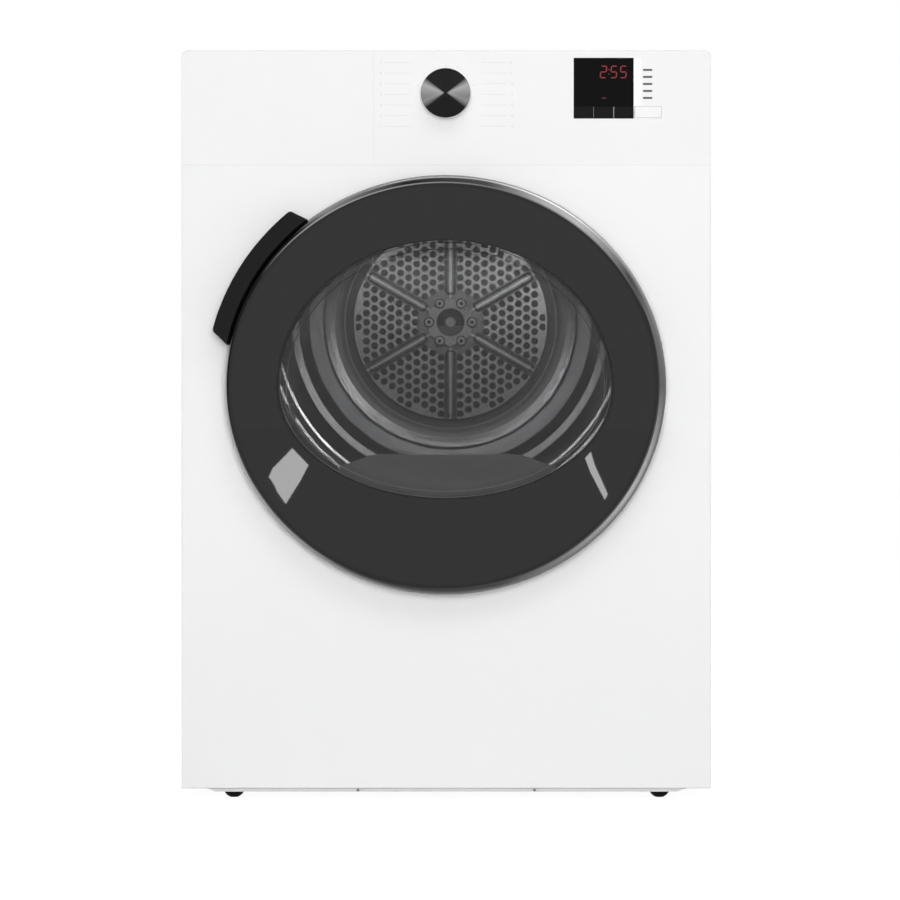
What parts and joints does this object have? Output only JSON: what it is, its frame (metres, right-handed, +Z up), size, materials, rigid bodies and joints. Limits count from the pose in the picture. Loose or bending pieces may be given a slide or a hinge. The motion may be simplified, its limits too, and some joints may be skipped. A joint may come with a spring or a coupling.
{
  "type": "clothes dryer",
  "caption": "Front-loading vented tumble dryer: white cabinet, round smoked door with chrome ring and black side handle, program knob, small display and keys.",
  "frame": {"origin": "middle of the bounding box on the floor", "axes": "+Z up, the door faces -Y, +X to the right of someone facing the door"},
  "size_m": [0.597, 0.5679, 0.846],
  "materials": {
    "white_paint": "gloss enamel",
    "laminate": "white laminate",
    "white_plastic": "satin moulding",
    "start_key": "gloss",
    "bulkhead_plastic": "moulded",
    "base_plastic": "moulded",
    "zinc_sheet": "galvanised",
    "screw_steel": "zinc plated",
    "black_plastic": "satin",
    "black_key": "gloss",
    "display_black": "gloss",
    "light_lens": "frosted",
    "board": "lacquered board",
    "strip_steel": "bright",
    "felt": "felt",
    "cast_metal": "cast",
    "heater_steel": "heat tinted",
    "motor_metal": "varnished",
    "shaft_steel": "ground",
    "fan_plastic": "moulded",
    "duct_plastic": "moulded",
    "belt_rubber": "ribbed",
    "chrome_trim": "chromed plastic",
    "smoked_glass": "smoked",
    "liner_plastic": "moulded",
    "bowl_glass": "clear",
    "seal_rubber": "matt",
    "hinge_steel": "zinc plated",
    "drum_steel": "galvanised",
    "lifter_plastic": "moulded",
    "wheel_plastic": "moulded",
    "knob_chrome": "satin chrome",
    "knob_face": "spun",
    "filter_plastic": "moulded",
    "filter_net": "fine net",
    "foot_rubber": "matt"
  },
  "bodies": {
    "cabinet": {"base": "base_plastic", "cabinet_screws": "screw_steel", "side_left": "white_paint", "side_right": "white_paint", "worktop": "laminate", "front_panel": "white_paint", "rear_panel": "zinc_sheet", "rear_cover": "zinc_sheet", "lint_duct": "bulkhead_plastic", "cable_gland": "black_plastic", "control_fascia": "white_plastic", "fascia_insert": "white_plastic", "display_window": "display_black", "light_guide": "light_lens", "control_board": "board", "front_bulkhead": "bulkhead_plastic", "moisture_strips": "strip_steel", "felt_seals": "felt", "felt_carriers": "zinc_sheet", "bearing_housing": "cast_metal", "heater_element": "heater_steel", "motor_body": "motor_metal", "fan_housing": "fan_plastic", "exhaust_duct": "duct_plastic", "vent_collar": "duct_plastic", "belt": "belt_rubber", "hinge_bracket": "white_paint", "latch_catch": "black_plastic"},
    "door": {"door_ring": "chrome_trim", "door_glass": "smoked_glass", "door_liner": "liner_plastic", "door_bowl": "bowl_glass", "door_seal": "seal_rubber", "door_handle": "black_plastic", "hinge_leaf": "hinge_steel", "latch_hook": "black_plastic"},
    "drum": {"drum_shell": "drum_steel", "drum_back": "drum_steel", "drum_grille": "drum_steel", "drum_shaft": "cast_metal", "hub_screws": "screw_steel", "drum_lifters": "lifter_plastic"},
    "rotor": {"motor_shaft": "shaft_steel", "fan_impeller": "fan_plastic"},
    "idler_lever": {"idler_arm": "hinge_steel"},
    "idler_wheel": {"idler_pulley": "wheel_plastic"},
    "roller_on_left": {"roller_left": "wheel_plastic"},
    "roller_on_right": {"roller_right": "wheel_plastic"},
    "knob": {"knob_body": "knob_chrome", "knob_cap": "knob_face"},
    "key_left": {"button_left": "black_key"},
    "key_middle": {"button_middle": "black_key"},
    "key_right": {"button_right": "black_key"},
    "key_start": {"start_button": "start_key"},
    "lint_filter": {"filter_frame": "filter_plastic", "filter_mesh": "filter_net"},
    "front_left_foot": {"foot_front_left": "foot_rubber"},
    "front_right_foot": {"foot_front_right": "foot_rubber"},
    "rear_left_foot": {"foot_rear_left": "foot_rubber"},
    "rear_right_foot": {"foot_rear_right": "foot_rubber"}
  },
  "joints": [
    {"name": "door_swing", "type": "hinge", "parent": "cabinet", "child": "door", "pos_m": [0.236, -0.264, 0.468], "axis": [0, 0, 1], "range_deg": [0, 140]},
    {"name": "drum_spin", "type": "hinge", "parent": "cabinet", "child": "drum", "pos_m": [0, 0, 0.552], "axis": [0, 1, 0], "continuous": true},
    {"name": "motor_spin", "type": "hinge", "parent": "cabinet", "child": "rotor", "pos_m": [0.095, 0, 0.15], "axis": [0, 1, 0], "continuous": true},
    {"name": "idler_arm_swing", "type": "hinge", "parent": "cabinet", "child": "idler_lever", "pos_m": [-0.0525, 0.07, 0.2533], "axis": [0, 1, 0], "range_deg": [0, 10], "stiffness_Nm_per_rad": 2, "springref_deg": -28.65},
    {"name": "idler_spin", "type": "hinge", "parent": "idler_lever", "child": "idler_wheel", "pos_m": [0.0112, 0.096, 0.2049], "axis": [0, 1, 0], "continuous": true},
    {"name": "roller_left_spin", "type": "hinge", "parent": "cabinet", "child": "roller_on_left", "pos_m": [-0.15274, -0.146, 0.33386], "axis": [0, 1, 0], "continuous": true},
    {"name": "roller_right_spin", "type": "hinge", "parent": "cabinet", "child": "roller_on_right", "pos_m": [0.15274, -0.146, 0.33386], "axis": [0, 1, 0], "continuous": true},
    {"name": "knob_turn", "type": "hinge", "parent": "cabinet", "child": "knob", "pos_m": [-0.0005, -0.26, 0.7958], "axis": [0, -1, 0], "continuous": true},
    {"name": "left_press", "type": "slide", "parent": "cabinet", "child": "key_left", "axis": [0, 1, 0], "range_m": [0, 0.0012], "stiffness_N_per_m": 800},
    {"name": "middle_press", "type": "slide", "parent": "cabinet", "child": "key_middle", "axis": [0, 1, 0], "range_m": [0, 0.0012], "stiffness_N_per_m": 800},
    {"name": "right_press", "type": "slide", "parent": "cabinet", "child": "key_right", "axis": [0, 1, 0], "range_m": [0, 0.0012], "stiffness_N_per_m": 800},
    {"name": "start_press", "type": "slide", "parent": "cabinet", "child": "key_start", "axis": [0, 1, 0], "range_m": [0, 0.0012], "stiffness_N_per_m": 800},
    {"name": "filter_lift", "type": "slide", "parent": "cabinet", "child": "lint_filter", "axis": [0, 0, 1], "range_m": [0, 0.19]},
    {"name": "front_left_foot_turn", "type": "hinge", "parent": "cabinet", "child": "front_left_foot", "pos_m": [-0.242, -0.194, 0.02], "axis": [0, 0, 1], "continuous": true},
    {"name": "front_right_foot_turn", "type": "hinge", "parent": "cabinet", "child": "front_right_foot", "pos_m": [0.242, -0.194, 0.02], "axis": [0, 0, 1], "continuous": true},
    {"name": "rear_left_foot_turn", "type": "hinge", "parent": "cabinet", "child": "rear_left_foot", "pos_m": [-0.242, 0.206, 0.02], "axis": [0, 0, 1], "continuous": true},
    {"name": "rear_right_foot_turn", "type": "hinge", "parent": "cabinet", "child": "rear_right_foot", "pos_m": [0.242, 0.206, 0.02], "axis": [0, 0, 1], "continuous": true}
  ],
  "couplings": [
    {"joint": "motor_spin", "follows": "drum_spin", "ratio": 43.131},
    {"joint": "idler_spin", "follows": "drum_spin", "ratio": -11.39},
    {"joint": "roller_left_spin", "follows": "drum_spin", "ratio": -10.027},
    {"joint": "roller_right_spin", "follows": "drum_spin", "ratio": -10.027}
  ]
}
